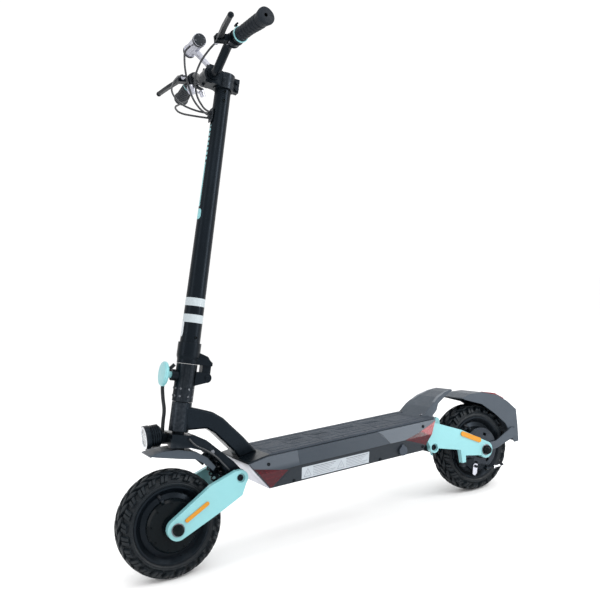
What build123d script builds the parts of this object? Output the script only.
"""Electric kick scooter, built as separate named pieces.

Frame: X runs forward, Y to the rider's left, Z up. The origin is on the ground, halfway along the
whole length. Sizes are in millimetres. A side outline is a list of (x, z) points, and the steering
pieces are drawn in the frame of the raked steering axis, as (ahead, along) points.
"""
from build123d import *
import math
import os

os.makedirs("parts", exist_ok=True)

# ---------------------------------------------------------------- driving dimensions
TYRE_RADIUS = 127.5
TYRE_HALF_WIDTH = 37.5
LUGS = 24
WHEELBASE = 942.0
TAIL_REACH = 158.0            # rear axle to the end of the rear fender
RAKE = 14.14                  # steering axis, degrees back from upright
TRAIL = 38.4                  # the steering axis meets the ground this far ahead of the axle

DECK_RISE = 129.5             # axle height to the top of the mat
DECK_DEPTH = 83.0             # mat top to the underside
SHELL_HALF_WIDTH = 82.0
COVER_TOP_HALF = 89.0
BELLY_HALF_WIDTH = 98.0
COVER_LOW_HALF = 86.0
BELLY_RISE = 42.0
DECK_NOSE_GAP = 182.0         # front axle back to the top of the nose
DECK_TAIL_GAP = 185.0         # rear axle forward to the top of the tail
NOSE_SLANT = 49.0
TAIL_SLANT = 55.0
NOSE_DROP = 9.0
PAD_LENGTH = 60.0
MAT_THICK = 4.0
TOP_THICK = 6.0
BASE_THICK = 3.5
COVER_THICK = 3.5
NOSE_THICK = 2.5
SCREW_RADIUS = 3.2

HEAD_LOW = 350.0              # heights along the steering axis
HEAD_HIGH = 420.0
HEAD_RADIUS = 24.5
STEERER_RADIUS = 15.0
STEERER_TOP = 470.0
CROWN_LOW = 318.0
CROWN_HIGH = 345.0
CROWN_HALF_LENGTH = 28.0
BLOCK_HIGH = 513.0
BLOCK_RADIUS = 25.5
FOLD_BACK = 47.5              # fold pin behind the steering axis
FOLD_ALONG = 484.0
FOLD_PIN_RADIUS = 5.0
FOOT_RADIUS = 28.5
FOOT_SEAT = 548.0
FOOT_HIGH = 565.0
STEM_RADIUS_LOW = 25.0
STEM_RADIUS_HIGH = 20.5
STEM_WALL = 2.5
STEM_TOP = 1248.0
CABLE_PORT_ALONG = 1136.0
BAR_AHEAD = 39.0              # handlebar ahead of the stem's axis
BAR_ALONG = 1240.0
BAR_RADIUS = 11.1
BAR_WALL = 2.2
BAR_CLAMP_RADIUS = 15.9
BAR_HALF_WIDTH = 300.0
BAR_RISE = 40.0
BAR_BEND_LOW = 52.0
BAR_BEND_HIGH = 118.0
GRIP_RADIUS = 16.5
GRIP_LENGTH = 122.0
LEVER_AHEAD = 40.0
LEVER_SIDE = 150.0
LEVER_THICK = 9.0
KNOB_RADIUS = 30.0
KNOB_SHANK_RADIUS = 8.0
KNOB_ALONG = 483.0
LAMP_RADIUS = 28.0
LAMP_RISE = 211.0             # headlight above the axle
DISPLAY_RADIUS = 15.0
DISPLAY_HALF = 41.0

LEG_IN = 26.0
LEG_OUT = 46.0
ARM_IN = 58.0
ARM_OUT = 73.0
AXLE_RADIUS = 7.0
PIVOT_RADIUS = 8.0
PIVOT_BOSS = 19.0
PIN_RADIUS = 5.0
BEARING_RADIUS = 16.0
RIM_RADIUS = 92.0
COVER_RADIUS = 63.0
MOTOR_RADIUS = 56.0
BOSS_RADIUS = 28.0
BOSS_OUT = 50.0
DISC_RADIUS = 61.0
DISC_IN = 46.5
DISC_THICK = 2.0
SPRING_RADIUS = 17.0
SPRING_WIRE = 2.5
SPRING_TURNS = 6
DAMPER_RADIUS = 9.5
ROD_RADIUS = 4.0
EYE_HALF = 10.0
CABLE_RADIUS = 2.5
HARNESS_RADIUS = 4.5

RUN = 0.05                    # running fit, on the radius
FIT = 0.1                     # slip fit between fastened pieces
SEAT = 0.2                    # trim resting on a curved or painted face
GAP = 0.5                     # pieces that move past each other
BUSH = 1.0                    # rubber bush round a shock pin

# ---------------------------------------------------------------- places worked out from them
AXLE_Z = TYRE_RADIUS
LENGTH = TYRE_RADIUS + WHEELBASE + TAIL_REACH
FRONT_X = LENGTH / 2 - TYRE_RADIUS
REAR_X = FRONT_X - WHEELBASE
DECK_TOP = AXLE_Z + DECK_RISE
DECK_LOW = DECK_TOP - DECK_DEPTH
PLATE_TOP = DECK_TOP - MAT_THICK
PLATE_LOW = PLATE_TOP - TOP_THICK
BASE_TOP = DECK_LOW + BASE_THICK
NOSE_TOP_X = FRONT_X - DECK_NOSE_GAP
NOSE_LOW_X = NOSE_TOP_X - NOSE_SLANT
NOSE_TOP_Z = PLATE_TOP - NOSE_DROP
PAD_X = NOSE_TOP_X - PAD_LENGTH
TAIL_TOP_X = REAR_X + DECK_TAIL_GAP
TAIL_LOW_X = TAIL_TOP_X + TAIL_SLANT

FRONT_AXLE = (FRONT_X, AXLE_Z)
REAR_AXLE = (REAR_X, AXLE_Z)
FRONT_PIVOT = (FRONT_X - TYRE_RADIUS - 39.5, AXLE_Z + 84.5)
REAR_PIVOT = (TAIL_TOP_X + 2.0, DECK_LOW - 4.0)
FRONT_SHOCK_HIGH = (FRONT_PIVOT[0] + 55.0, FRONT_PIVOT[1] + 70.0)
FRONT_SHOCK_LOW = (FRONT_PIVOT[0] + 24.0, FRONT_PIVOT[1] - 40.0)
REAR_SHOCK_HIGH = (REAR_PIVOT[0] + 27.0, REAR_PIVOT[1] + 56.0)
REAR_SHOCK_LOW = (REAR_PIVOT[0] - 60.0, REAR_PIVOT[1] + 60.0)

SIN = math.sin(math.radians(RAKE))
COS = math.cos(math.radians(RAKE))
STEER = Plane(origin=(FRONT_X + TRAIL, 0, 0), x_dir=(COS, 0, SIN), z_dir=(-SIN, 0, COS))
LOW = (Align.CENTER, Align.CENTER, Align.MIN)

PARTS = {}


# ---------------------------------------------------------------- drawing helpers
def front(dx, dz):
    """A side-view point measured from the front axle."""
    return (FRONT_X + dx, AXLE_Z + dz)


def rear(dx, dz):
    """A side-view point measured from the rear axle."""
    return (REAR_X + dx, AXLE_Z + dz)


def steer_point(ahead, side, along):
    """A point of the steering frame, as a place in the scooter's frame."""
    return (FRONT_X + TRAIL + ahead * COS - along * SIN, side, ahead * SIN + along * COS)


def slab(outline, y_low, y_high):
    """A side outline pulled across the width from y_low to y_high."""
    face = make_face(Polyline(*[(x, y_low, z) for x, z in outline], close=True))
    return extrude(face, amount=y_high - y_low, dir=(0, 1, 0))


def plan(outline, z_low, z_high):
    """An outline seen from above pulled up from z_low to z_high."""
    face = make_face(Polyline(*[(x, y, z_low) for x, y in outline], close=True))
    return extrude(face, amount=z_high - z_low, dir=(0, 0, 1))


def cross_bar(place, radius, y_low, y_high):
    """A round bar across the width at a side-view point."""
    start = Plane(origin=(place[0], y_low, place[1]), z_dir=(0, 1, 0))
    return start * Cylinder(radius, y_high - y_low, align=LOW)


def rod(start, end, radius):
    """A round bar between two places."""
    run = Vector(*end) - Vector(*start)
    return Plane(origin=start, z_dir=run) * Cylinder(radius, run.length, align=LOW)


def flip(shape):
    """The same piece on the other side of the scooter."""
    return mirror(shape, about=Plane.XZ)


def joined(pieces):
    whole = pieces[0]
    for piece in pieces[1:]:
        whole = whole + piece
    return whole


def lathe(profile):
    """A (radius, height) outline turned about Z."""
    face = make_face(Polyline(*[(r, 0, h) for r, h in profile], close=True))
    return revolve(face, axis=Axis.Z)


def spun(profile, place):
    """A (radius, y) outline turned about the cross axis at a side-view point."""
    return Plane(origin=(place[0], 0, place[1]), z_dir=(0, 1, 0)) * lathe(profile)


def bend_radius(a, b, c):
    """The largest even bend at point b of a cable's route."""
    before = Vector(*b) - Vector(*a)
    after = Vector(*c) - Vector(*b)
    turn = math.radians(before.get_angle(after))
    return 0.45 * min(before.length, after.length) / math.tan(turn / 2)


def route(points):
    """Straight runs joined by tangent arcs."""
    radii = [bend_radius(*points[i:i + 3]) for i in range(len(points) - 2)]
    return FilletPolyline(*points, radius=radii)


def cable(points, radius):
    """A round cable along its route."""
    path = route(points)
    return sweep(Plane(origin=path @ 0, z_dir=path % 0) * Circle(radius), path=path)


def keep(name, *solids):
    """One node: a single piece, or several separate ones."""
    PARTS[name] = solids[0] if len(solids) == 1 else Compound(children=list(solids))


# ---------------------------------------------------------------- wheels
def tyre(place):
    """Hollow off-road tyre: two rows of shoulder lugs and a cut centre band."""
    half = TYRE_HALF_WIDTH
    crown = TYRE_RADIUS
    outer = [(RIM_RADIUS - 7.4, half - 13.8), (RIM_RADIUS + 0.4, half - 10), (RIM_RADIUS + 2, half - 6.2),
             (crown - 27, half - 2), (crown - 19, half), (crown - 8.5, half - 3.5),
             (crown - 2.5, half - 11), (crown, half - 22)]
    inner = [(crown - 8, half - 22), (crown - 11.5, half - 10), (crown - 19.5, half - 7),
             (RIM_RADIUS + 6, half - 9), (RIM_RADIUS - 4, half - 19), (RIM_RADIUS - 9.7, half - 20.5)]
    other_outer = [(r, -y) for r, y in reversed(outer)]
    other_inner = [(r, -y) for r, y in reversed(inner)]
    body = spun(outer + other_outer + other_inner + inner, place)
    centre = Location((place[0], 0, place[1]))
    grooves = []
    for side in (1, -1):
        for lug in range(LUGS):
            turn = 360 / LUGS * (lug + 0.25 * side)
            spot = centre * Rot(0, turn, 0) * Pos(crown, side * half, 0)
            grooves.append(spot * Rot(side * 12, 0, 0) * Box(10, 34, 6))
            middle = centre * Rot(0, turn + 90 / LUGS, 0) * Pos(crown, side * 8.5, 0)
            grooves.append(middle * Box(7, 9, 4))
    return body - grooves


def rim(place):
    """Cast rim and motor case in one, open on the left."""
    case = [(RIM_RADIUS, 31), (RIM_RADIUS, 28), (RIM_RADIUS - 8, 24), (RIM_RADIUS - 12, 12),
            (RIM_RADIUS - 12, -12), (RIM_RADIUS - 8, -24), (RIM_RADIUS, -28), (RIM_RADIUS, -31),
            (RIM_RADIUS - 5, -31), (RIM_RADIUS - 17, -21), (COVER_RADIUS + 1, -26), (COVER_RADIUS, -34),
            (COVER_RADIUS - 5, -40), (BOSS_RADIUS, -43), (BOSS_RADIUS, -BOSS_OUT),
            (BEARING_RADIUS + FIT, -BOSS_OUT), (BEARING_RADIUS + FIT, -36), (MOTOR_RADIUS - 8, -33),
            (MOTOR_RADIUS, -26), (MOTOR_RADIUS, 26), (COVER_RADIUS + 1, 26), (RIM_RADIUS - 17, 21),
            (RIM_RADIUS - 5, 31)]
    return spun(case, place)


def hub_cover(place):
    """Left side cover of the motor case, carrying one bearing."""
    plate = [(COVER_RADIUS, 26 + FIT), (COVER_RADIUS, 34), (COVER_RADIUS - 5, 40), (BOSS_RADIUS, 43),
             (BOSS_RADIUS, BOSS_OUT), (BEARING_RADIUS + FIT, BOSS_OUT), (BEARING_RADIUS + FIT, 36),
             (MOTOR_RADIUS - 8, 33), (MOTOR_RADIUS - 4, 26 + FIT)]
    return spun(plate, place)


def axle_set(place):
    """Axle, wound stator, two bearings, two spacers and two domed nuts."""
    end = ARM_OUT + 8
    bar = cross_bar(place, AXLE_RADIUS, -end, end)
    bore = AXLE_RADIUS + FIT
    stator = spun([(bore, -16), (bore, 16), (20, 16), (20, 23), (48, 23), (48, 18), (MOTOR_RADIUS - 3, 18),
                   (MOTOR_RADIUS - 3, -18), (48, -18), (48, -23), (20, -23), (20, -16)], place)
    bearing = spun([(bore, 37), (bore, 49), (BEARING_RADIUS, 49), (BEARING_RADIUS, 37)], place)
    spacer = spun([(bore, BOSS_OUT + 4.2), (bore, ARM_IN - FIT), (12, ARM_IN - FIT), (12, BOSS_OUT + 4.2)],
                  place)
    seat = ARM_OUT + SEAT
    nut = spun([(bore, seat), (13, seat), (13, seat + 7), (10, seat + 13), (4, seat + 15), (0, seat + 15),
                (0, end + FIT), (bore, end + FIT)], place)
    return [bar, stator, bearing, flip(bearing), spacer, flip(spacer), nut, flip(nut)]


for end_name, place in (("front", FRONT_AXLE), ("rear", REAR_AXLE)):
    keep(end_name + "_tyre", tyre(place))
    keep(end_name + "_rim", rim(place))
    keep(end_name + "_hub_cover", hub_cover(place))
    keep(end_name + "_axle_set", *axle_set(place))

DISC_OUT = DISC_IN + DISC_THICK
disc = spun([(BOSS_RADIUS + SEAT, DISC_IN), (DISC_RADIUS, DISC_IN), (DISC_RADIUS, DISC_OUT),
             (BOSS_RADIUS + SEAT, DISC_OUT)], REAR_AXLE)
centre = Location((REAR_X, 0, AXLE_Z))
for spoke in range(6):
    turn = centre * Rot(0, 60 * spoke, 0)
    disc -= turn * Pos(44, DISC_IN + 1, 0) * Box(8, 8, 12)
    spoke_foot = turn * Rot(0, 30, 0) * Pos(40, 42 + SEAT, 0) * Rot(-90, 0, 0)
    disc += spoke_foot * Cylinder(4, DISC_IN - 42, align=LOW)
keep("brake_disc", disc)


# ---------------------------------------------------------------- shock absorbers
def shock(name, high, low):
    """Damper body on the upper pin, rod on the lower pin, spring round both."""
    top = Vector(high[0], 0, high[1])
    down = Vector(low[0], 0, low[1]) - top
    frame = Plane(origin=top, x_dir=(0, 1, 0), z_dir=down)
    reach = down.length
    eye = Rot(0, 90, 0) * Cylinder(PIN_RADIUS + BUSH + 4, 2 * EYE_HALF)
    bore = Rot(0, 90, 0) * Cylinder(PIN_RADIUS + BUSH, 4 * EYE_HALF)
    tight = Rot(0, 90, 0) * Cylinder(PIN_RADIUS + RUN, 4 * EYE_HALF)
    seat_high = 14.0
    seat_low = reach - 18.0
    body = eye + Pos(0, 0, 6) * Cylinder(DAMPER_RADIUS, 0.55 * reach, align=LOW)
    body += Pos(0, 0, seat_high - 4) * Cylinder(SPRING_RADIUS, 4 - FIT, align=LOW)
    slide = Pos(0, 0, 0.3 * reach) * Cylinder(ROD_RADIUS + RUN, reach, align=LOW)
    body = body - tight - slide
    end = Pos(0, 0, reach)
    ram = end * eye + Pos(0, 0, 0.42 * reach) * Cylinder(ROD_RADIUS, 0.58 * reach - 6, align=LOW)
    ram += Pos(0, 0, seat_low + FIT) * Cylinder(SPRING_RADIUS, 4, align=LOW)
    ram = ram - end * bore
    height = seat_low - seat_high
    coil = Helix(pitch=(height - 2 * SPRING_WIRE) / SPRING_TURNS, height=height - 2 * SPRING_WIRE,
                 radius=SPRING_RADIUS - SPRING_WIRE)
    wire = sweep(Plane(origin=coil @ 0, z_dir=coil % 0) * Circle(SPRING_WIRE), path=coil)
    keep(name + "_shock_body", frame * body)
    keep(name + "_shock_rod", frame * ram)
    keep(name + "_spring", frame * Pos(0, 0, seat_high + SPRING_WIRE) * wire)


shock("front", FRONT_SHOCK_HIGH, FRONT_SHOCK_LOW)
shock("rear", REAR_SHOCK_HIGH, REAR_SHOCK_LOW)


# ---------------------------------------------------------------- swing arms
def arm_plate(outline, axle, pivot, axle_boss, pivot_boss):
    """One side plate of a swing arm, with a rounded boss at each end."""
    plate = slab(outline, ARM_IN, ARM_OUT)
    plate += cross_bar(axle, axle_boss, ARM_IN, ARM_OUT)
    plate += cross_bar(pivot, pivot_boss, ARM_IN, ARM_OUT)
    plate -= cross_bar(axle, AXLE_RADIUS + FIT, ARM_IN - 1, ARM_OUT + 1)
    plate -= cross_bar(pivot, PIVOT_RADIUS + RUN, ARM_IN - 1, ARM_OUT + 1)
    plate -= cross_bar(pivot, PIVOT_RADIUS + 3, ARM_OUT - 4, ARM_OUT + 1)
    return plate


front_plate = arm_plate(
    [front(-158, 104), front(-91, 83), front(12, 22), front(-9, -23.4), front(-111, 18), front(-166, 43),
     front(-184, 78)], FRONT_AXLE, FRONT_PIVOT, 25.0, PIVOT_BOSS)
cross = cross_bar(FRONT_SHOCK_LOW, PIN_RADIUS, -ARM_IN, ARM_IN)
stub = cross_bar(FRONT_SHOCK_LOW, 9.0, EYE_HALF + GAP, ARM_IN + 1)
keep("front_swing_arm", joined([front_plate, flip(front_plate), cross, stub, flip(stub)]))

rear_plate = arm_plate(
    [rear(181, 112.5), rear(209, 64), rear(200, 44), rear(168, 36), rear(95, 17.5), rear(93, -21),
     rear(80, -21), rear(78, -2), rear(20, -13), rear(-8, 22.5), rear(84, 73.5)],
    REAR_AXLE, REAR_PIVOT, 24.0, 15.0)
beam = slab([rear(150, 78), rear(165, 70), rear(150, 52), rear(127, 58), rear(116, 78)],
            -ARM_IN - 1, ARM_IN + 1)
cheek_top = REAR_SHOCK_LOW
cheek = slab([rear(116, 77), rear(138, 77), (cheek_top[0] + 9, cheek_top[1]),
              (cheek_top[0] - 9, cheek_top[1])], EYE_HALF + GAP, EYE_HALF + 9)
cheek += cross_bar(cheek_top, 9.0, EYE_HALF + GAP, EYE_HALF + 9)
rear_cross = cross_bar(REAR_SHOCK_LOW, PIN_RADIUS, -EYE_HALF - 9, EYE_HALF + 9)
keep("rear_swing_arm", joined([rear_plate, flip(rear_plate), beam, cheek, flip(cheek), rear_cross]))


def reflector(start, end, half_width):
    """A strip with round ends on the outer face of a swing arm."""
    run_x = end[0] - start[0]
    run_z = end[1] - start[1]
    length = math.hypot(run_x, run_z)
    side_x = -run_z / length * half_width
    side_z = run_x / length * half_width
    low = ARM_OUT + SEAT
    strip = slab([(start[0] + side_x, start[1] + side_z), (end[0] + side_x, end[1] + side_z),
                  (end[0] - side_x, end[1] - side_z), (start[0] - side_x, start[1] - side_z)], low, low + 2.5)
    strip += cross_bar(start, half_width, low, low + 2.5) + cross_bar(end, half_width, low, low + 2.5)
    return strip


front_strip = reflector(front(-23, 17), front(-76, 44), 4.5)
rear_strip = reflector(rear(82, 62), rear(24, 33), 7.0)
keep("front_reflectors", front_strip, flip(front_strip))
keep("rear_reflectors", rear_strip, flip(rear_strip))

# ---------------------------------------------------------------- fork, hinge and front fender
leg = slab([front(-14, 203), front(-72, 203), front(-100, 185.5), front(-163, 121.5), front(-185, 92),
            front(-176, 68), front(-150, 74), front(-133, 118), front(-118, 141), front(-90, 161),
            front(-60, 174), front(-10, 183.5)], LEG_IN, LEG_OUT)
crown = STEER * slab([(-CROWN_HALF_LENGTH, CROWN_LOW), (CROWN_HALF_LENGTH, CROWN_LOW),
                      (CROWN_HALF_LENGTH, CROWN_HIGH), (-CROWN_HALF_LENGTH, CROWN_HIGH)], -LEG_OUT, LEG_OUT)
steerer = STEER * Pos(0, 0, CROWN_LOW) * Cylinder(STEERER_RADIUS, STEERER_TOP - CROWN_LOW, align=LOW)
sleeve = cross_bar(FRONT_PIVOT, PIVOT_BOSS + 1, SPRING_RADIUS + 5, ARM_IN - GAP)
waist = cross_bar(FRONT_PIVOT, PIVOT_RADIUS + 6, -SPRING_RADIUS - 6, SPRING_RADIUS + 6)
fork = joined([crown, leg, flip(leg), steerer, sleeve, flip(sleeve), waist])
fork -= cross_bar(FRONT_PIVOT, PIVOT_RADIUS + FIT, -ARM_IN, ARM_IN)
fork -= cross_bar(FRONT_SHOCK_HIGH, PIN_RADIUS + FIT, -LEG_OUT - 1, LEG_OUT + 1)
keep("fork", fork)
fork_shaft = cross_bar(FRONT_PIVOT, PIVOT_RADIUS, -ARM_OUT + 4.5, ARM_OUT - 4.5)
fork_pin = cross_bar(FRONT_SHOCK_HIGH, PIN_RADIUS, -LEG_OUT - 0.4, LEG_OUT + 0.4)
keep("fork_pins", fork_shaft, fork_pin)

fold = (-FOLD_BACK, FOLD_ALONG)
ear = slab([(-FOLD_BACK, FOLD_ALONG - 12), (-18, FOLD_ALONG - 22), (-18, FOLD_ALONG + 13),
            (-FOLD_BACK, FOLD_ALONG + 12)], 13, 22) + cross_bar(fold, 12, 13, 22)
block = Pos(0, 0, HEAD_HIGH + 1.5) * Cylinder(BLOCK_RADIUS, BLOCK_HIGH - HEAD_HIGH - 1.5, align=LOW)
block += [ear, flip(ear), cross_bar(fold, FOLD_PIN_RADIUS, -25, 25)]
block += rod((10, 0, KNOB_ALONG), (37, 0, KNOB_ALONG), 14)
block -= Pos(0, 0, HEAD_HIGH) * Cylinder(STEERER_RADIUS + FIT, STEERER_TOP - HEAD_HIGH + 1, align=LOW)
block -= rod((-2, 0, KNOB_ALONG), (40, 0, KNOB_ALONG), KNOB_SHANK_RADIUS + RUN)
keep("hinge_block", STEER * block)

knob = Plane(origin=(0, 0, KNOB_ALONG), z_dir=(1, 0, 0)) * lathe(
    [(0, 0), (KNOB_SHANK_RADIUS, 0), (KNOB_SHANK_RADIUS, 46), (16, 47), (KNOB_RADIUS - 3, 50),
     (KNOB_RADIUS, 53), (KNOB_RADIUS, 58), (KNOB_RADIUS - 3, 61), (0, 62)])
keep("fold_knob", STEER * knob)

skin = [front(38, 172), front(10, 177), front(-30, 175), front(-76, 160), front(-100, 142), front(-119, 116)]
skin_under = [front(-116.5, 114), front(-98, 139.6), front(-74.5, 157), front(-29.5, 171.8),
              front(10, 173.8), front(37, 169)]
skirt_low = [front(-111, 108), front(-92, 129), front(-70, 144), front(-30, 153), front(24, 167)]
fender = slab(skin + skin_under, -38, 38)
fender_side = slab(skin + skirt_low, 35.5, 38)
post = STEER * Box(24, 30, 14, align=LOW).moved(Pos(-4, 0, CROWN_LOW - 14 - SEAT))
fender = joined([fender, fender_side, flip(fender_side), post])
fender -= slab([front(-72, 100), front(-72, 200), front(-140, 200), front(-140, 100)],
               -SPRING_RADIUS - 4, SPRING_RADIUS + 4)
keep("front_fender", fender)

lamp_z = AXLE_Z + LAMP_RISE
lamp_frame = Plane(origin=(FRONT_X - 2, 0, lamp_z), z_dir=(1, 0, 0))
fins = [(0, 0), (LAMP_RADIUS - 8, 0), (LAMP_RADIUS - 4, 4)]
for fin in range(4):
    fins += [(LAMP_RADIUS - 4, 6 + 5 * fin), (LAMP_RADIUS - 1, 6 + 5 * fin),
             (LAMP_RADIUS - 1, 8.5 + 5 * fin), (LAMP_RADIUS - 4, 8.5 + 5 * fin)]
fins += [(LAMP_RADIUS - 4, 26), (LAMP_RADIUS, 28), (LAMP_RADIUS, 40), (LAMP_RADIUS - 3, 40),
         (LAMP_RADIUS - 6, 30), (10, 26), (0, 26)]
bracket_foot = steer_point(CROWN_HALF_LENGTH + SEAT, 0, CROWN_HIGH - 4)
bracket_low = steer_point(CROWN_HALF_LENGTH + SEAT, 0, CROWN_LOW + 3)
bracket = slab([(bracket_foot[0], bracket_foot[2]), (bracket_low[0], bracket_low[2]),
                (FRONT_X + 2, lamp_z - 18), (FRONT_X + 2, lamp_z + 10)], -8, 8)
keep("headlight", lamp_frame * lathe(fins) + bracket)
keep("headlight_lens", lamp_frame * Pos(0, 0, 34) * Cylinder(LAMP_RADIUS - 5, 5, align=LOW))

lead_side = LEG_OUT + CABLE_RADIUS + 0.4
front_lead = [front(-56, 198), front(-70, 178), front(-92, 165), front(-118, 144), front(-137, 118),
              front(-148, 104)]
keep("front_cable", cable([(x, lead_side, z) for x, z in front_lead], CABLE_RADIUS))

harness = [steer_point(*p) for p in ((27, -14, 508), (42, -24, 488), (46, -31, 456), (42, -24, 424),
                                      (37, -14, 396), (36, -17, 370), (34, -19, 350), (32.9, -19, 332))]
keep("harness", cable(harness, HARNESS_RADIUS))

# ---------------------------------------------------------------- neck and deck
neck = slab([front(-62, 272), front(-107, 255.5), front(-132, 245.5), front(-157, 226.5), front(-205, 170.5),
             (PAD_X + 6, PLATE_TOP + 3.5), (NOSE_TOP_X - 6, NOSE_TOP_Z + 4), front(-178, 137.5),
             front(-132, 192.5), front(-112, 208.5), front(-62, 213)], -24, 24)
neck = chamfer(neck.faces().sort_by(Axis.Y)[0].edges() + neck.faces().sort_by(Axis.Y)[-1].edges(), 4)
foot_plate = slab([(PAD_X + SEAT, PLATE_TOP + FIT), (PAD_X + SEAT, DECK_TOP),
                   (NOSE_TOP_X, NOSE_TOP_Z + MAT_THICK), (NOSE_TOP_X, NOSE_TOP_Z + FIT)],
                  -COVER_TOP_HALF, COVER_TOP_HALF)
head = STEER * Pos(0, 0, HEAD_LOW) * Cylinder(HEAD_RADIUS, HEAD_HIGH - HEAD_LOW, align=LOW)
neck_frame = joined([head, neck, foot_plate])
neck_frame -= STEER * Pos(0, 0, HEAD_LOW - 1) * Cylinder(STEERER_RADIUS + 1.5, 100, align=LOW)
for cup in (HEAD_LOW - 1, HEAD_HIGH - 9):
    neck_frame -= STEER * Pos(0, 0, cup) * Cylinder(21, 10, align=LOW)
keep("neck_frame", neck_frame)

in_x = NOSE_THICK + 1.0
shell_view = [(NOSE_TOP_X - in_x, NOSE_TOP_Z), (NOSE_LOW_X - in_x, BASE_TOP), (TAIL_LOW_X - 2, BASE_TOP),
              (TAIL_TOP_X, PLATE_TOP), (PAD_X, PLATE_TOP)]
shell = slab(shell_view, -SHELL_HALF_WIDTH, SHELL_HALF_WIDTH)
room_front = NOSE_LOW_X - 14
room_rear = TAIL_LOW_X + 18
room_half = SHELL_HALF_WIDTH - 3.0
shell -= slab([(room_front, BASE_TOP - 1), (room_rear, BASE_TOP - 1), (room_rear, PLATE_LOW),
               (room_front, PLATE_LOW)], -room_half, room_half)
notch_rear = TAIL_TOP_X - 5
notch_front = REAR_SHOCK_HIGH[0] + PIN_RADIUS + BUSH + 9
notch_low = REAR_SHOCK_HIGH[1] - 22
notch_high = PLATE_TOP - 4
shell -= slab([(notch_rear, notch_low), (notch_front, notch_low), (notch_front, notch_high),
               (notch_rear, notch_high)], -SPRING_RADIUS - 4, SPRING_RADIUS + 4)
pocket = slab([(room_rear - 6, BASE_TOP - 1), (TAIL_LOW_X + 3, BASE_TOP - 1), (TAIL_TOP_X + 9, PLATE_LOW),
               (room_rear - 6, PLATE_LOW)], SPRING_RADIUS + 16, room_half)
shell -= [pocket, flip(pocket)]
hanger = slab([(TAIL_LOW_X - 1.6, BASE_TOP + SEAT), (REAR_PIVOT[0], REAR_PIVOT[1] - 16),
               (REAR_PIVOT[0] - 14, REAR_PIVOT[1] + 8), (TAIL_LOW_X - 14, BASE_TOP + 28)],
              -ARM_IN + GAP, ARM_IN - GAP)
hanger += cross_bar(REAR_PIVOT, 16, -ARM_IN + GAP, ARM_IN - GAP)
shell += hanger
shell -= cross_bar(REAR_PIVOT, PIVOT_RADIUS + FIT, -ARM_IN, ARM_IN)
shell -= cross_bar(REAR_SHOCK_HIGH, PIN_RADIUS + FIT, -SPRING_RADIUS - 12, SPRING_RADIUS + 12)
keep("deck_shell", shell)

pivot_shaft = cross_bar(REAR_PIVOT, PIVOT_RADIUS, -ARM_OUT + 4.5, ARM_OUT - 4.5)
shock_pin = cross_bar(REAR_SHOCK_HIGH, PIN_RADIUS, -SPRING_RADIUS - 11, SPRING_RADIUS + 11)
bearings = [STEER * Pos(0, 0, along) * (Cylinder(21 - FIT, 8, align=LOW)
                                        - Cylinder(STEERER_RADIUS + RUN, 8, align=LOW))
            for along in (HEAD_LOW, HEAD_HIGH - 8)]
keep("pivot_hardware", pivot_shaft, shock_pin, *bearings)

mat = slab([(PAD_X - SEAT, PLATE_TOP + FIT), (TAIL_TOP_X + 4, PLATE_TOP + FIT), (TAIL_TOP_X + 2, DECK_TOP),
            (PAD_X - SEAT, DECK_TOP)], -SHELL_HALF_WIDTH - 3, SHELL_HALF_WIDTH + 3)
kick_room = slab([(TAIL_TOP_X + 26, PLATE_TOP - 1), (TAIL_TOP_X - 20, PLATE_TOP - 1),
                  (TAIL_TOP_X - 20, DECK_TOP + 1), (TAIL_TOP_X + 26, DECK_TOP + 1)], -59, 59)
keep("deck_mat", mat - kick_room)

base = slab([(NOSE_LOW_X - in_x, DECK_LOW), (TAIL_LOW_X - 1, DECK_LOW), (TAIL_LOW_X - 1.5, BASE_TOP - FIT),
             (NOSE_LOW_X - in_x + 2, BASE_TOP - FIT)], -SHELL_HALF_WIDTH, SHELL_HALF_WIDTH)
stand_x = (NOSE_LOW_X + TAIL_LOW_X) / 2 - 60
stand_y = -66.0
stand_z = DECK_LOW - 13
lug = slab([(stand_x - 12, DECK_LOW), (stand_x + 12, DECK_LOW), (stand_x + 8, stand_z - 7),
            (stand_x - 8, stand_z - 7)], 0, 4)
base += [Pos(0, stand_y + 8 + GAP, 0) * lug, Pos(0, stand_y - 12 - GAP, 0) * lug]
base += cross_bar((stand_x, stand_z), 4, stand_y - 12, stand_y + 12)
keep("base_cover", base)
stand = cross_bar((stand_x, stand_z), 8, stand_y - 8, stand_y + 8)
stand += rod((stand_x, stand_y, stand_z), (stand_x - 128, stand_y, stand_z - 1), 6)
stand += slab([(stand_x - 118, stand_z - 7), (stand_x - 140, stand_z - 7), (stand_x - 146, stand_z + 5),
               (stand_x - 118, stand_z + 5)], stand_y - 9, stand_y + 9)
keep("kickstand", stand - cross_bar((stand_x, stand_z), 4 + RUN, stand_y - 9, stand_y + 9))

nose_outer = [(NOSE_TOP_X, NOSE_TOP_Z), (NOSE_LOW_X, DECK_LOW), (NOSE_LOW_X - NOSE_THICK, DECK_LOW),
              (NOSE_TOP_X - NOSE_THICK, NOSE_TOP_Z)]
keep("nose_plate", slab(nose_outer, -COVER_LOW_HALF, COVER_LOW_HALF))

battery_low = BASE_TOP + 2
keep("battery_pack", slab([(room_front - 6, battery_low), (room_front - 306, battery_low),
                           (room_front - 306, battery_low + 56), (room_front - 6, battery_low + 56)], -70, 70)
     + slab([(room_front - 20, BASE_TOP), (room_front - 290, BASE_TOP), (room_front - 290, battery_low),
             (room_front - 20, battery_low)], -50, 50))
keep("motor_controller", slab([(room_rear + 8, BASE_TOP), (room_rear + 108, BASE_TOP),
                               (room_rear + 108, BASE_TOP + 44), (room_rear + 8, BASE_TOP + 44)], -55, 55))


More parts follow.
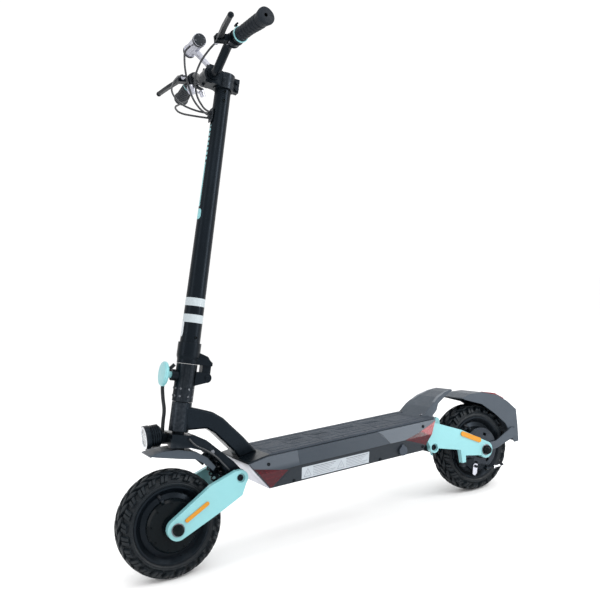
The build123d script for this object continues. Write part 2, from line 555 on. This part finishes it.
# ---------------------------------------------------------------- side covers and their lights
def cover_section(shrink):
    """The side cover's cross-section, as (y, z) points, thinned by shrink."""
    inner = SHELL_HALF_WIDTH + SEAT
    belly_z = DECK_LOW + BELLY_RISE
    return [(inner, DECK_LOW + shrink), (COVER_LOW_HALF - shrink, DECK_LOW + shrink),
            (BELLY_HALF_WIDTH - 1.1 * shrink, belly_z), (COVER_TOP_HALF - 0.8 * shrink, PLATE_TOP - 1 - shrink),
            (inner, PLATE_TOP - 1 - shrink)]


def cover_bar(shrink):
    start = TAIL_TOP_X - 50
    length = NOSE_TOP_X - start + 50
    face = make_face(Polyline(*[(start, y, z) for y, z in cover_section(shrink)], close=True))
    return extrude(face, amount=length, dir=(1, 0, 0))


nose_back = NOSE_THICK + SEAT
cover_room = slab([(NOSE_TOP_X - nose_back, NOSE_TOP_Z), (NOSE_LOW_X - nose_back - 0.7, DECK_LOW - 1),
                   (TAIL_LOW_X, DECK_LOW - 1), (TAIL_TOP_X, PLATE_TOP), (PAD_X, PLATE_TOP)],
                  0, BELLY_HALF_WIDTH + 10)
outer_bar = cover_bar(0) & cover_room
hollow_bar = cover_bar(COVER_THICK) & Pos(0, -1, 0) * cover_room
front_light_view = [front(-194, 103), front(-284, 84), front(-237, 46.5)]
rear_light_view = [rear(302, 89), rear(254, 99), rear(206, 114), rear(186, 122), rear(228, 60), rear(262, 74)]
lights = []
cover = outer_bar - hollow_bar
for view in (front_light_view, rear_light_view):
    window = slab(view, SHELL_HALF_WIDTH + 4, BELLY_HALF_WIDTH + 10)
    lens = (outer_bar - Pos(0, -4, 0) * outer_bar) & window
    lights.append(lens)
    cover = cover - window
cover_solid = cover.solids().sort_by(SortBy.VOLUME)[-1]
lens_solids = []
for lens in lights:
    lens_solids.append(lens.solids().sort_by(SortBy.VOLUME)[-1])
keep("side_lights", *lens_solids, *[flip(lens) for lens in lens_solids])

port_x = REAR_X + 311.0
port_z = DECK_LOW + 15.0
port_y = 94.3
socket = cross_bar((port_x, port_z), 13.5, SHELL_HALF_WIDTH + 1, port_y)
left_cover = Part(cover_solid.wrapped) + socket - cross_bar((port_x, port_z), 8, port_y - 7, port_y + 1)
screw_spots = [front(-234, 107), rear(234, 113), rear(240, 58), front(-560, 52), front(-300, 52)]
screws = []
for x, z in screw_spots:
    rise = z - DECK_LOW
    if rise > BELLY_RISE:
        slope = (BELLY_HALF_WIDTH - COVER_TOP_HALF) / (PLATE_TOP - 1 - DECK_LOW - BELLY_RISE)
        y = BELLY_HALF_WIDTH - slope * (rise - BELLY_RISE)
    else:
        y = COVER_LOW_HALF + (BELLY_HALF_WIDTH - COVER_LOW_HALF) * rise / BELLY_RISE
    screws.append(cross_bar((x, z), SCREW_RADIUS, SHELL_HALF_WIDTH + SEAT + FIT, y + 1.2))
    left_cover -= cross_bar((x, z), SCREW_RADIUS + FIT, SHELL_HALF_WIDTH, y + 5)
right_cover = flip(Part(cover_solid.wrapped))
for screw_spot in screw_spots:
    right_cover -= cross_bar(screw_spot, SCREW_RADIUS + FIT, -BELLY_HALF_WIDTH - 5, -SHELL_HALF_WIDTH)
keep("side_cover_left", left_cover)
keep("side_cover_right", right_cover)
keep("deck_screws", *screws, *[flip(screw) for screw in screws])

cap = cross_bar((port_x, port_z), 12.5, port_y + SEAT, port_y + 4)
cap += cross_bar((port_x, port_z), 7, port_y - 2, port_y + 1)
cap += slab([(port_x - 4, port_z + 8), (port_x + 4, port_z + 8), (port_x + 4, port_z + 17),
             (port_x - 4, port_z + 17)], port_y + 1, port_y + 4)
keep("charge_cap", cap)

tail = (TAIL_TOP_X, DECK_TOP)
kick_view = [(25, 0), (-8, 24), (-48, 45), (-83, 55), (-110, 58), (-114, 54), (-78, 43), (-43, 28), (-33, 11),
             (-15, 0), (-15, -3.5), (25, -3.5)]
kick_hollow = [(8, -5), (-9, 17), (-46, 38), (-66, 43), (-47, 29), (-38, 11), (-20, -5)]
kick = slab([(tail[0] + x, tail[1] + z) for x, z in kick_view], -58, 58)
kick -= slab([(tail[0] + x, tail[1] + z) for x, z in kick_hollow], -34, 34)
trim = plan([(tail[0] - 20, 58), (tail[0] - 130, 30), (tail[0] - 130, 80), (tail[0] - 20, 80)],
            DECK_TOP - 20, DECK_TOP + 90)
keep("kick_plate", kick - [trim, flip(trim)])

# ---------------------------------------------------------------- rear fender, tail light and brake
top_skin = [rear(50, 158.5), rear(12, 165), rear(-33, 162.5), rear(-88, 145.5), rear(-126, 120.5),
            rear(-TAIL_REACH, 90.5), rear(-TAIL_REACH, 40), rear(3 - TAIL_REACH, -7.5)]
under_skin = [rear(6 - TAIL_REACH, -7.5), rear(3 - TAIL_REACH, 40), rear(3 - TAIL_REACH, 89.3),
              rear(-124, 118), rear(-87, 142.4), rear(-33, 159.3), rear(12, 161.8), rear(49, 155.5)]
rear_fender = slab(top_skin + under_skin, -48, 48)
skirt = slab(top_skin + [rear(20 - TAIL_REACH, -7.5), rear(23 - TAIL_REACH, 0), rear(-110, 55), rear(-69, 94),
                         rear(-25, 128), rear(38, 151)], 45, 48)
strut = slab([rear(-130, 42), rear(-146, 14), rear(-60, -10), rear(-10, -13), rear(13, 0), rear(-10, 13),
              rear(-60, 12)], BOSS_OUT + 1, BOSS_OUT + 4)
strut += cross_bar(REAR_AXLE, 14, BOSS_OUT + 1, BOSS_OUT + 4)
strut -= cross_bar(REAR_AXLE, AXLE_RADIUS + FIT, BOSS_OUT, BOSS_OUT + 5)
strut += slab([rear(-124, 30), rear(-135, 12), rear(-146, 16), rear(-138, 40)], 46, BOSS_OUT + 4)
keep("rear_fender", joined([rear_fender, skirt, flip(skirt), strut, flip(strut)]))
keep("tail_light", slab([rear(-90, 144.8 + 2 * SEAT), rear(-126, 120.7 + 2 * SEAT), rear(-130, 124),
                         rear(-128, 129), rear(-95, 149)], -30, 30))

grip_spot = rear(41, -42)
caliper = Location((grip_spot[0], 50.4, grip_spot[1])) * Rot(0, 45, 0) * Box(26, 14.8, 34)
caliper -= spun([(20, DISC_IN - 1), (DISC_RADIUS + 2, DISC_IN - 1), (DISC_RADIUS + 2, DISC_OUT + 1),
                 (20, DISC_OUT + 1)], REAR_AXLE)
caliper += slab([rear(34, -20), rear(90, -21.3), rear(90, -34), rear(46, -40)], 53, ARM_IN - FIT)
caliper += slab([rear(90, -21.3), rear(82, -21.3), rear(82, -34), rear(90, -34)], 53, ARM_OUT - 2)
caliper_pin = rear(36, -44)
caliper += cross_bar(caliper_pin, 4, 57, 66)
caliper += slab([rear(-10, -50), rear(26, -44), rear(26, -56), rear(-10, -64)], 53, 57)
caliper += rod((REAR_X - 12, 60, AXLE_Z - 60), (REAR_X - 2, 60, AXLE_Z - 60), 5)
caliper += slab([rear(-9, -50), rear(-5, -50), rear(-5, -64), rear(-9, -64)], 53, 62)
caliper += rod((REAR_X - 71, 60, AXLE_Z - 60), (REAR_X - 11, 60, AXLE_Z - 60), 2.6)
keep("brake_caliper", caliper)
pull = slab([rear(28, -40), rear(44, -38), rear(50, -64), rear(42, -70), rear(34, -64)], 58.2, 61.5)
pull += cross_bar(caliper_pin, 8, 58.2, 61.5)
pull -= cross_bar(caliper_pin, 4 + RUN, 57, 63)
keep("caliper_lever", pull)

# ---------------------------------------------------------------- stem
foot = Pos(0, 0, BLOCK_HIGH + GAP) * Cylinder(BLOCK_RADIUS + 0.5, 12, align=LOW)
foot += Pos(0, 0, BLOCK_HIGH + GAP + 10) * Cone(BLOCK_RADIUS + 0.5, FOOT_RADIUS, 8, align=LOW)
foot += Pos(0, 0, BLOCK_HIGH + GAP + 18) * Cylinder(FOOT_RADIUS, FOOT_HIGH - BLOCK_HIGH - GAP - 18, align=LOW)
foot += slab([(-FOLD_BACK - 11, FOLD_ALONG), (-FOLD_BACK + 11, FOLD_ALONG), (-FOLD_BACK + 11, BLOCK_HIGH + GAP),
              (-18, BLOCK_HIGH + GAP), (-18, 545), (-FOLD_BACK, 536), (-FOLD_BACK - 11, 522)], -12, 12)
foot += slab([(-FOLD_BACK - 11, BLOCK_HIGH + GAP), (-10, BLOCK_HIGH + GAP), (-10, 532), (-FOLD_BACK, 530),
              (-FOLD_BACK - 11, 522)], -20, 20)
foot += cross_bar(fold, 11, -12, 12)
foot -= cross_bar(fold, FOLD_PIN_RADIUS + RUN, -13, 13)
foot -= Pos(0, 0, FOOT_SEAT) * Cylinder(STEM_RADIUS_LOW + FIT, 30, align=LOW)
keep("stem_foot", STEER * foot)

stem_length = STEM_TOP - FOOT_SEAT - FIT
tube = Pos(0, 0, FOOT_SEAT + FIT) * Cone(STEM_RADIUS_LOW, STEM_RADIUS_HIGH, stem_length, align=LOW)
tube -= Pos(0, 0, FOOT_SEAT - 1) * Cone(STEM_RADIUS_LOW - STEM_WALL, STEM_RADIUS_HIGH - STEM_WALL,
                                        stem_length + 2, align=LOW)
port = rod((10, 0, CABLE_PORT_ALONG - 12), (40, 0, CABLE_PORT_ALONG - 12), 7)
port += rod((10, 0, CABLE_PORT_ALONG + 12), (40, 0, CABLE_PORT_ALONG + 12), 7)
port += Pos(25, 0, CABLE_PORT_ALONG) * Box(30, 14, 24)
keep("stem_tube", STEER * (tube - port))

collar_low = STEM_TOP - 34
collar_radius = STEM_RADIUS_HIGH + 6
bar_spot = (BAR_AHEAD, BAR_ALONG)
clamp = Pos(0, 0, collar_low) * Cylinder(collar_radius, STEM_TOP + 6 - collar_low, align=LOW)
clamp += slab([(-collar_radius - 12, collar_low + 2), (-10, collar_low + 2), (-10, STEM_TOP + 4),
               (-collar_radius - 12, STEM_TOP + 4)], -9, 9)
clamp += slab([(10, collar_low + 2), (BAR_AHEAD, BAR_ALONG - 22), (BAR_AHEAD, BAR_ALONG + 22),
               (10, STEM_TOP + 6)], -22, 22)
clamp += cross_bar(bar_spot, BAR_CLAMP_RADIUS + 6.5, -22, 22)
clamp -= cross_bar(bar_spot, BAR_CLAMP_RADIUS + FIT, -24, 24)
socket_depth = STEM_TOP + 1 - collar_low + FIT
clamp -= Pos(0, 0, collar_low - 1) * Cylinder(STEM_RADIUS_HIGH + 0.4, socket_depth, align=LOW)
split_ahead = 3 - STEM_RADIUS_HIGH
clamp -= slab([(-60, collar_low - 2), (split_ahead, collar_low - 2), (split_ahead, STEM_TOP + 10),
               (-60, STEM_TOP + 10)], -1, 1)
bolts = []
for along in (collar_low + 10, STEM_TOP - 6):
    clamp -= cross_bar((-collar_radius - 6, along), 3 + FIT, -12, 12)
    bolts.append(cross_bar((-collar_radius - 6, along), 3, -9.5, 9.5)
                 + cross_bar((-collar_radius - 6, along), 5, 9 + FIT, 13))
for side in (-14, 14):
    for along in (BAR_ALONG - 19, BAR_ALONG + 19):
        bolts.append(Pos(0, side, 0) * rod((BAR_AHEAD + 11, 0, along), (BAR_AHEAD + 16, 0, along), 4))
clamp += slab([(BAR_AHEAD - 2, BAR_ALONG - 24), (BAR_AHEAD + 11 - SEAT, BAR_ALONG - 24),
               (BAR_AHEAD + 11 - SEAT, BAR_ALONG - 14), (BAR_AHEAD - 2, BAR_ALONG - 14)], -20, 20)
clamp += slab([(BAR_AHEAD - 2, BAR_ALONG + 24), (BAR_AHEAD + 11 - SEAT, BAR_ALONG + 24),
               (BAR_AHEAD + 11 - SEAT, BAR_ALONG + 14), (BAR_AHEAD - 2, BAR_ALONG + 14)], -20, 20)
clamp -= cross_bar(bar_spot, BAR_CLAMP_RADIUS + FIT, -24, 24)
keep("stem_clamp", STEER * clamp, *[STEER * bolt for bolt in bolts])

# ---------------------------------------------------------------- handlebar and controls
BAR_X, _, BAR_Z = steer_point(BAR_AHEAD, 0, BAR_ALONG)
BEND = Vector(BAR_X - 8, BAR_BEND_HIGH, BAR_Z + BAR_RISE)
TIP = Vector(BAR_X - 22, BAR_HALF_WIDTH - 3, BAR_Z + BAR_RISE - 4)
OUTWARD = (TIP - BEND).normalized()


def along_bar(y):
    """The frame on the left grip section at a distance y from the middle, Z pointing outward."""
    reach = (y - BEND.Y) / OUTWARD.Y
    return Plane(origin=BEND + OUTWARD * reach, x_dir=(1, 0, 0), z_dir=OUTWARD)


bar_points = [(TIP.X, -TIP.Y, TIP.Z), (BEND.X, -BEND.Y, BEND.Z), (BAR_X, -BAR_BEND_LOW, BAR_Z),
              (BAR_X, BAR_BEND_LOW, BAR_Z), (BEND.X, BEND.Y, BEND.Z), (TIP.X, TIP.Y, TIP.Z)]
bar_path = FilletPolyline(*bar_points, radius=[45, 30, 30, 45])
bar_start = Plane(origin=bar_path @ 0, z_dir=bar_path % 0)
bar = sweep(bar_start * Circle(BAR_RADIUS), path=bar_path)
bar += cross_bar((BAR_X, BAR_Z), BAR_CLAMP_RADIUS, -30, 30)
bar -= sweep(bar_start * Circle(BAR_RADIUS - BAR_WALL), path=bar_path)
keep("handlebar", bar)

grip_view = [(BAR_RADIUS + FIT, 0), (GRIP_RADIUS + 1.5, 0), (GRIP_RADIUS + 1.5, 5), (GRIP_RADIUS - 1.5, 7),
             (GRIP_RADIUS - 0.5, 60), (GRIP_RADIUS, 100), (GRIP_RADIUS + 3, 114), (GRIP_RADIUS + 3, 118),
             (GRIP_RADIUS - 1, GRIP_LENGTH), (4, GRIP_LENGTH), (4, 120), (BAR_RADIUS + FIT, 120)]
grip = along_bar(BAR_HALF_WIDTH - GRIP_LENGTH) * lathe(grip_view)
keep("grips", grip, flip(grip))

clamp_ring = [(BAR_RADIUS + FIT, -10), (BAR_RADIUS + 6, -10), (BAR_RADIUS + 6, 10), (BAR_RADIUS + FIT, 10)]
perch_frame = along_bar(LEVER_SIDE)
hinge_x = perch_frame.origin.X + LEVER_AHEAD
hinge_z = perch_frame.origin.Z
perch = perch_frame * lathe(clamp_ring)
arm_blank = slab([(perch_frame.origin.X + BAR_RADIUS + 2, hinge_z - 8), (hinge_x + 7, hinge_z - 8),
                  (hinge_x + 7, hinge_z + 8), (perch_frame.origin.X + BAR_RADIUS + 2, hinge_z + 8)],
                 LEVER_SIDE - 14, LEVER_SIDE + 7)
slot_half = LEVER_THICK / 2 + 0.4
arm_blank -= slab([(hinge_x - 12, hinge_z - slot_half), (hinge_x + 20, hinge_z - slot_half),
                   (hinge_x + 20, hinge_z + slot_half), (hinge_x - 12, hinge_z + slot_half)],
                  LEVER_SIDE - 9, LEVER_SIDE + 12)
perch += arm_blank
perch += Pos(hinge_x, LEVER_SIDE, hinge_z) * Cylinder(2.5, 16)
perch += rod((hinge_x - 2, LEVER_SIDE - 12, hinge_z), (hinge_x - 4, LEVER_SIDE - 24, hinge_z), 4.5)
keep("lever_perches", perch, flip(perch))

lever_view = [(-5, -4), (4, -5), (8, 20), (16, 60), (25, 122), (15, 122), (5, 62), (-4, 22)]
lever = plan([(hinge_x + ahead, LEVER_SIDE + out) for ahead, out in lever_view],
             hinge_z - LEVER_THICK / 2, hinge_z + LEVER_THICK / 2)
lever += Pos(hinge_x, LEVER_SIDE, hinge_z) * Cylinder(6, LEVER_THICK)
lever += Pos(hinge_x + 20, LEVER_SIDE + 124, hinge_z) * Sphere(7)
lever -= Pos(hinge_x, LEVER_SIDE, hinge_z) * Cylinder(2.5 + RUN, 30)
keep("brake_lever_left", lever)
keep("brake_lever_right", flip(lever))

throttle_side = LEVER_SIDE + 20
throttle_frame = along_bar(throttle_side)
housing_view = [(BAR_RADIUS + FIT, -7), (BAR_RADIUS + 9, -7), (BAR_RADIUS + 9, -3.5), (BAR_RADIUS + 4, -3.5),
                (BAR_RADIUS + 4, 3.5), (BAR_RADIUS + 9, 3.5), (BAR_RADIUS + 9, 5), (BAR_RADIUS + FIT, 5)]
keep("throttle_body", flip(throttle_frame * lathe(housing_view)))
thumb = lathe([(BAR_RADIUS + 4 + RUN, -3), (BAR_RADIUS + 10, -3), (BAR_RADIUS + 10, 3),
               (BAR_RADIUS + 4 + RUN, 3)])
thumb += Pos(0, BAR_RADIUS + 16, 0) * Box(7, 20, 6)
keep("throttle_lever", flip(throttle_frame * Rot(0, 0, 60) * thumb))

display_x = BAR_X + 33
display_z = BAR_Z + 76
display = cross_bar((display_x, display_z), DISPLAY_RADIUS, -DISPLAY_HALF + 9, DISPLAY_HALF - 9)
cap_end = cross_bar((display_x, display_z), DISPLAY_RADIUS + 1.5, DISPLAY_HALF - 9 + FIT, DISPLAY_HALF)
post_back = steer_point(BAR_AHEAD - 2, 0, BAR_ALONG + 24 + SEAT)
post_front = steer_point(BAR_AHEAD + 10, 0, BAR_ALONG + 24 + SEAT)
post = slab([(post_back[0], post_back[2]), (post_front[0], post_front[2]),
             (display_x + 8, display_z - DISPLAY_RADIUS + 4), (display_x - 8, display_z - DISPLAY_RADIUS + 2)],
            -7, 7)
LOOK = Vector(-0.66, 0, 0.75).normalized()
button_frame = Plane(origin=Vector(display_x, -20, display_z) + LOOK * DISPLAY_RADIUS, z_dir=LOOK)
display = display + post - button_frame * Pos(0, 0, -5) * Cylinder(5 + GAP / 2, 20, align=LOW)
keep("display_pod", display, cap_end, flip(cap_end))
keep("power_button", button_frame * Pos(0, 0, -3) * Cylinder(5, 4.5, align=LOW))

# ---------------------------------------------------------------- control cables
port_at = [steer_point(19, side, CABLE_PORT_ALONG + up)
           for side, up in ((3.5, 12), (-3.5, 12), (-3.5, 0), (3.5, 0))]
left_cable = [(hinge_x - 4, LEVER_SIDE - 25.5, hinge_z), (hinge_x - 2, 92, hinge_z - 1),
              (hinge_x + 14, 58, hinge_z - 22), (hinge_x + 26, 30, hinge_z - 58),
              (hinge_x + 16, 12, hinge_z - 98), (hinge_x - 4, 5, hinge_z - 126)]
right_cable = [(hinge_x - 4, 25.5 - LEVER_SIDE, hinge_z), (hinge_x + 8, -96, hinge_z - 3),
               (hinge_x + 40, -74, hinge_z - 26), (hinge_x + 62, -50, hinge_z - 66),
               (hinge_x + 46, -26, hinge_z - 106), (hinge_x + 10, -8, hinge_z - 127)]
throttle_start = (throttle_frame.origin.X + 6, 5.2 - throttle_side, throttle_frame.origin.Z - BAR_RADIUS - 11)
throttle_cable = [throttle_start, (hinge_x - 22, -154, hinge_z - 50), (hinge_x + 14, -124, hinge_z - 74),
                  (hinge_x + 44, -86, hinge_z - 94), (hinge_x + 46, -46, hinge_z - 122),
                  (hinge_x + 12, -14, hinge_z - 138)]
display_cable = [(display_x + 16, 12, display_z - 6), (display_x + 34, 16, display_z - 22),
                 (display_x + 40, 22, display_z - 60), (display_x + 38, 24, display_z - 104),
                 (display_x + 24, 14, display_z - 142), (display_x + 2, 6, display_z - 166)]
routes = [left_cable, right_cable, throttle_cable, display_cable]
cords = [cable(points + [port], CABLE_RADIUS) for points, port in zip(routes, port_at)]
keep("control_cables", *cords)

# ---------------------------------------------------------------- write the pieces
for name, shape in PARTS.items():
    export_step(shape, f"parts/{name}.step")
print(len(PARTS), "nodes, length", round(LENGTH, 1))
